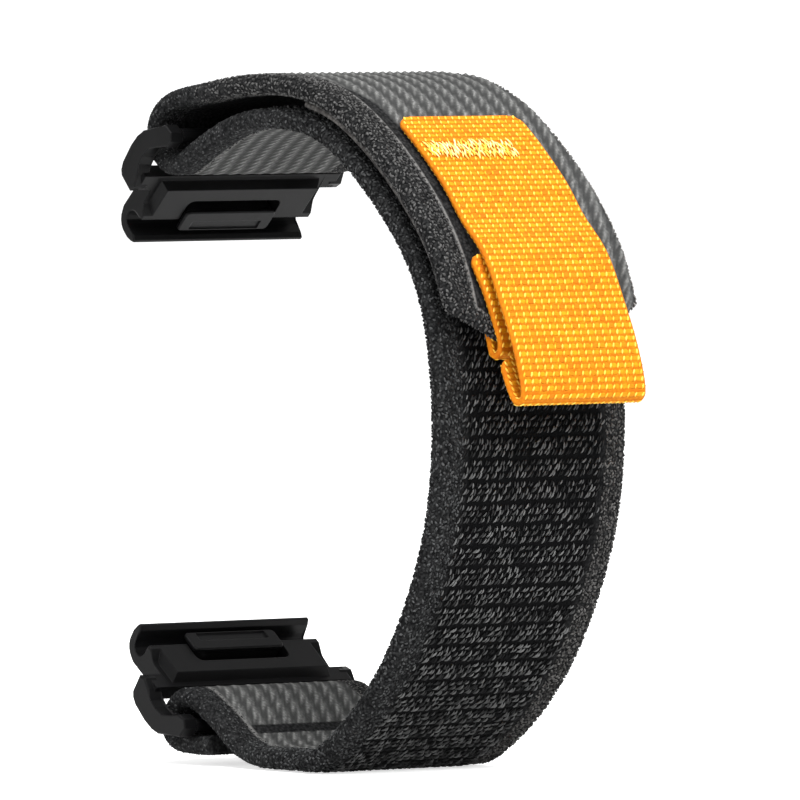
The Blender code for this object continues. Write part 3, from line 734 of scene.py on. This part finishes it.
# The ground between the yarns is darkened by painted shade.
ground_finish = speckled_finish(
    "webbing_ground",
    webbing_gap_shade,
    webbing_mid,
    roughness=0.8,
    specular=0.15,
    scale=2400.0,
    strength=0.4,
    depth=0.06 * mm,
)
warp_finish = yarn_finish(
    "webbing_warp", float_dark, float_highlight, roughness=0.6, specular=0.2, fibre_scale=3000.0, rarity=0.7
)
# The weft is the same orange yarn, darkened by painted shade between the floats.
weft_finish = yarn_finish(
    "webbing_weft", webbing_gap_shade, webbing_mid, roughness=0.7, specular=0.15, fibre_scale=3000.0, rarity=0.5
)
warp_yarn = yarn_shape(
    "warp_yarn_shape", length=0.60 * mm, width=0.23 * mm, height=0.15 * mm, stations=3, sides=6
)
weft_yarn = yarn_shape(
    "weft_yarn_shape", length=warp_pitch, width=weft_pitch * 0.84, height=0.07 * mm, stations=3, sides=6
)
for name, course_points, node, shift, seed in (
    ("binding", binding_course, "tab_binding", (-1.0 * mm, 0.6 * mm), 41),
    ("tab", tab_course, "pull_tab", (0.0, 0.0), 45),
):
    course = tape_course(course_points)
    length = course[1][-1]
    runs = np.linspace(0, length, int(length / webbing_step))
    from_end = 1 - np.clip(np.minimum(runs, length - runs) / corner_round, 0, 1)
    widths = 1 - 2 * corner_round / webbing_width * (1 - np.sqrt(1 - from_end**2))
    shifts = np.interp(runs, (0, askew_run), shift)
    ring = cloth_ring(webbing_width, webbing_thickness, webbing_edge, webbing_columns)
    base, _, _ = woven_tape(f"{name}_webbing", course, runs, ring, widths, shifts)
    grown(base, relief, rib_height=0.0, fuzz_height=0.04 * mm, finish=ground_finish)
    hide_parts(node)
    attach(base, "tail")
    half = webbing_width / 2 - yarn_margin
    for kind, shape, finish, slant, lift in (
        ("warp", warp_yarn, warp_finish, warp_slant, warp_lift),
        ("weft", weft_yarn, weft_finish, 0.0, 0.0),
    ):
        found = []
        for face in (-1, 1):
            run, across = np.meshgrid(
                np.arange(weft_pitch / 2, length, weft_pitch),
                np.arange(-half, half + warp_slack, warp_pitch),
                indexing="ij",
            )
            if kind == "weft":
                across = np.clip(across + warp_pitch / 2, -half, half - weft_inset)
            across = across * np.interp(run, runs, widths) + np.interp(run, runs, shifts)
            points, along, outward = on_tape(course, run, across, face * (webbing_thickness / 2 + lift))
            if kind == "weft":
                along = np.zeros_like(along) + width_way
            found.append((points, leaning(along, slant), outward * face))
        points, along, outward = (np.concatenate([part[i].reshape(-1, 3) for part in found]) for i in range(3))
        made = points_with_directions(f"{name}_{kind}_yarns", points, along, outward)
        grown(
            made,
            laid_yarn,
            yarn=shape,
            turn=0.06,
            tilt=0.05,
            least_size=0.92,
            greatest_size=1.05,
            seed=seed,
            finish=finish,
        )
        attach(made, "tail")

# The bar tack: a dense zigzag of pale polyester thread, 10.4 mm wide. It is sewn through the tab's upper end and
# the tail, and holds the tab.
tack_run, tack_half, tack_middle = 5.1 * mm, 5.2 * mm, -1.6 * mm
tack_step, tack_seat, tack_jitter = 0.19 * mm, 0.13 * mm, 0.4
stitch_ends, stitch_slants = (-0.6, 0.5), (0.25, -0.35)
tack_dark, tack_light = (0.86, 0.52, 0.05, 1), (1.0, 0.88, 0.45, 1)
tack_finish = yarn_finish(
    "tack_thread", tack_dark, tack_light, roughness=0.6, specular=0.2, fibre_scale=3000.0, rarity=1.2
)
tack_yarn = yarn_shape(
    "tack_thread_shape", length=1.3 * mm, width=0.17 * mm, height=0.17 * mm, stations=3, sides=6, bow=0.06 * mm
)
tab = tape_course(tab_course)
across = np.repeat(np.arange(-tack_half, tack_half, tack_step), 2)
stitch = np.arange(len(across))
run = tack_run + np.where(stitch % 2 == 0, *stitch_ends) * mm
run = run + shuffle.uniform(-tack_jitter, tack_jitter, len(across)) * mm
points, along, outward = on_tape(tab, run, across + tack_middle, -(webbing_thickness / 2 + tack_seat))
zigzag = np.where(stitch % 4 < 2, *stitch_slants)
bar_tack = points_with_directions("bar_tack", points, leaning(along, zigzag), -outward)
grown(
    bar_tack,
    laid_yarn,
    yarn=tack_yarn,
    turn=0.12,
    tilt=0.05,
    least_size=0.8,
    greatest_size=1.1,
    seed=51,
    finish=tack_finish,
)
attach(bar_tack, "tail")

# The single yarns were only patterns for the rows above.
for shape in (loop_yarn, small_yarn, edge_yarn, hook_shape, warp_yarn, weft_yarn, tack_yarn):
    bpy.data.objects.remove(shape, do_unlink=True)

# The clips: cast and milled steel frames, bars and latches under a satin black coating that shines a little
# on the rounded edges, and the latches' small springs of bare wire.
coat_dark, coat_light = (0.0025, 0.0025, 0.0027, 1), (0.006, 0.006, 0.0063, 1)
coat_polish, coat_haze = 0.24, 0.10
coat_rounding = 0.14 * mm
wire_dull, wire_bright = (0.30, 0.30, 0.31, 1), (0.50, 0.50, 0.51, 1)
clip_finish, tree, shader = new_finish("black_coating", roughness=0.34, specular=0.08)
place = add_node(tree, "ShaderNodeTexCoord").outputs["Object"]
grain = add_node(tree, "ShaderNodeTexNoise", {"Vector": place, "Scale": 2500.0, "Detail": 4.0}).outputs["Fac"]
smudges = add_node(tree, "ShaderNodeTexNoise", {"Vector": place, "Scale": 160.0, "Detail": 2.0}).outputs["Fac"]
tree.links.new(blend_colours(tree, smudges, coat_dark, coat_light), shader.inputs["Base Color"])
haze = maths(tree, "MULTIPLY", maths(tree, "ADD", grain, smudges), coat_haze)
tree.links.new(maths(tree, "ADD", coat_polish, haze), shader.inputs["Roughness"])
rounded = add_node(tree, "ShaderNodeBevel", {"Radius": coat_rounding}, samples=6).outputs["Normal"]
bump = add_node(
    tree, "ShaderNodeBump", {"Height": grain, "Strength": 0.12, "Distance": 0.02 * mm, "Normal": rounded}
)
tree.links.new(bump.outputs["Normal"], shader.inputs["Normal"])
wire_finish, tree, shader = new_finish("spring_wire", roughness=0.3, specular=0.5, metallic=1.0)
place = add_node(tree, "ShaderNodeTexCoord").outputs["Object"]
drawn = add_node(tree, "ShaderNodeTexNoise", {"Vector": place, "Scale": 4000.0, "Detail": 2.0}).outputs["Fac"]
tree.links.new(blend_colours(tree, drawn, wire_dull, wire_bright), shader.inputs["Base Color"])
for name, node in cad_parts.items():
    if not node.hide_render:
        finish = wire_finish if "spring" in name else clip_finish
        for place in node.material_slots:
            place.material = finish

# The studio: a pale floor that runs up behind the strap and is seen as plain white. Soft lamps stand above it and
# in front.
camera_azimuth = 51
floor_half, floor_flat, floor_bow, floor_top = 3.5, 2.4, 0.5, 3.5
floor_light, world_light = 0.65, 0.55
floor_finish, tree, shader = new_finish("pale_floor", roughness=0.9, specular=0.3)
shader.inputs["Base Color"].default_value = (0.82, 0.82, 0.82, 1)
floor_glow = add_node(tree, "ShaderNodeEmission", {"Color": (1, 1, 1, 1)})
ray = add_node(tree, "ShaderNodeLightPath")
seen = maths(tree, "MAXIMUM", ray.outputs["Is Camera Ray"], ray.outputs["Is Glossy Ray"])
seen = maths(tree, "MAXIMUM", seen, ray.outputs["Is Transmission Ray"])
tree.links.new(maths(tree, "MULTIPLY", seen, floor_light), floor_glow.inputs["Strength"])
both = add_node(tree, "ShaderNodeAddShader", {0: shader.outputs[0], 1: floor_glow.outputs[0]})
tree.links.new(both.outputs[0], tree.nodes["Material Output"].inputs["Surface"])
bow = [(-floor_half, 0.0), (floor_flat, 0.0)]
for turn in np.radians(np.linspace(10, 90, 12)):
    bow.append((floor_flat + floor_bow * math.sin(turn), floor_bow - floor_bow * math.cos(turn)))
bow.append((floor_flat + floor_bow, floor_top))
away = (-math.sin(math.radians(camera_azimuth)), math.cos(math.radians(camera_azimuth)))
points = []
for reach, height in bow:
    for side in (-floor_half, floor_half):
        points.append((away[0] * reach + away[1] * side, away[1] * reach - away[0] * side, height))
mesh = bpy.data.meshes.new("floor")
mesh.from_pydata(points, [], [(2 * i, 2 * i + 1, 2 * i + 3, 2 * i + 2) for i in range(len(bow) - 1)])
mesh.shade_smooth()
mesh.materials.append(floor_finish)
placed("floor", mesh)

world = bpy.data.worlds.new("studio")
bpy.context.scene.world = world
world.use_nodes = True
world.node_tree.nodes["Background"].inputs["Color"].default_value = (1, 1, 1, 1)
world.node_tree.nodes["Background"].inputs["Strength"].default_value = world_light


def aim(made, looked_at, azimuth, elevation, distance):
    """Stands a lamp or the camera at a distance from a point and turns it there; both angles are in degrees."""
    turn, rise = math.radians(azimuth), math.radians(elevation)
    way = Vector((math.sin(turn) * math.cos(rise), -math.cos(turn) * math.cos(rise), math.sin(rise)))
    made.location = Vector(looked_at) + way * distance
    made.rotation_euler = way.to_track_quat("Z", "Y").to_euler()


loop_middle = (0, 0, 0.035)
for name, azimuth, elevation, distance, size, power in (
    ("key_lamp", 80, 40, 0.9, 0.55, 9.0),
    ("top_lamp", 20, 80, 0.9, 0.7, 8.0),
    ("near_lamp", -10, 15, 1.1, 0.5, 4.0),
):
    light = bpy.data.lights.new(name, "AREA")
    light.size, light.energy = size, power
    aim(placed(name, light), loop_middle, azimuth, elevation, distance)

# The camera stands where the photograph's did: level with the loop, with a long lens.
camera_elevation, camera_distance = 2, 1.4
camera_middle = (0.00115, 0, 0.0353)
lens = bpy.data.cameras.new("camera")
lens.lens = 661.5
lens.clip_start, lens.clip_end = 0.05, 20
camera = placed("camera", lens)
aim(camera, camera_middle, camera_azimuth, camera_elevation, camera_distance)
bpy.context.scene.camera = camera
bpy.context.scene.view_settings.view_transform = "Standard"
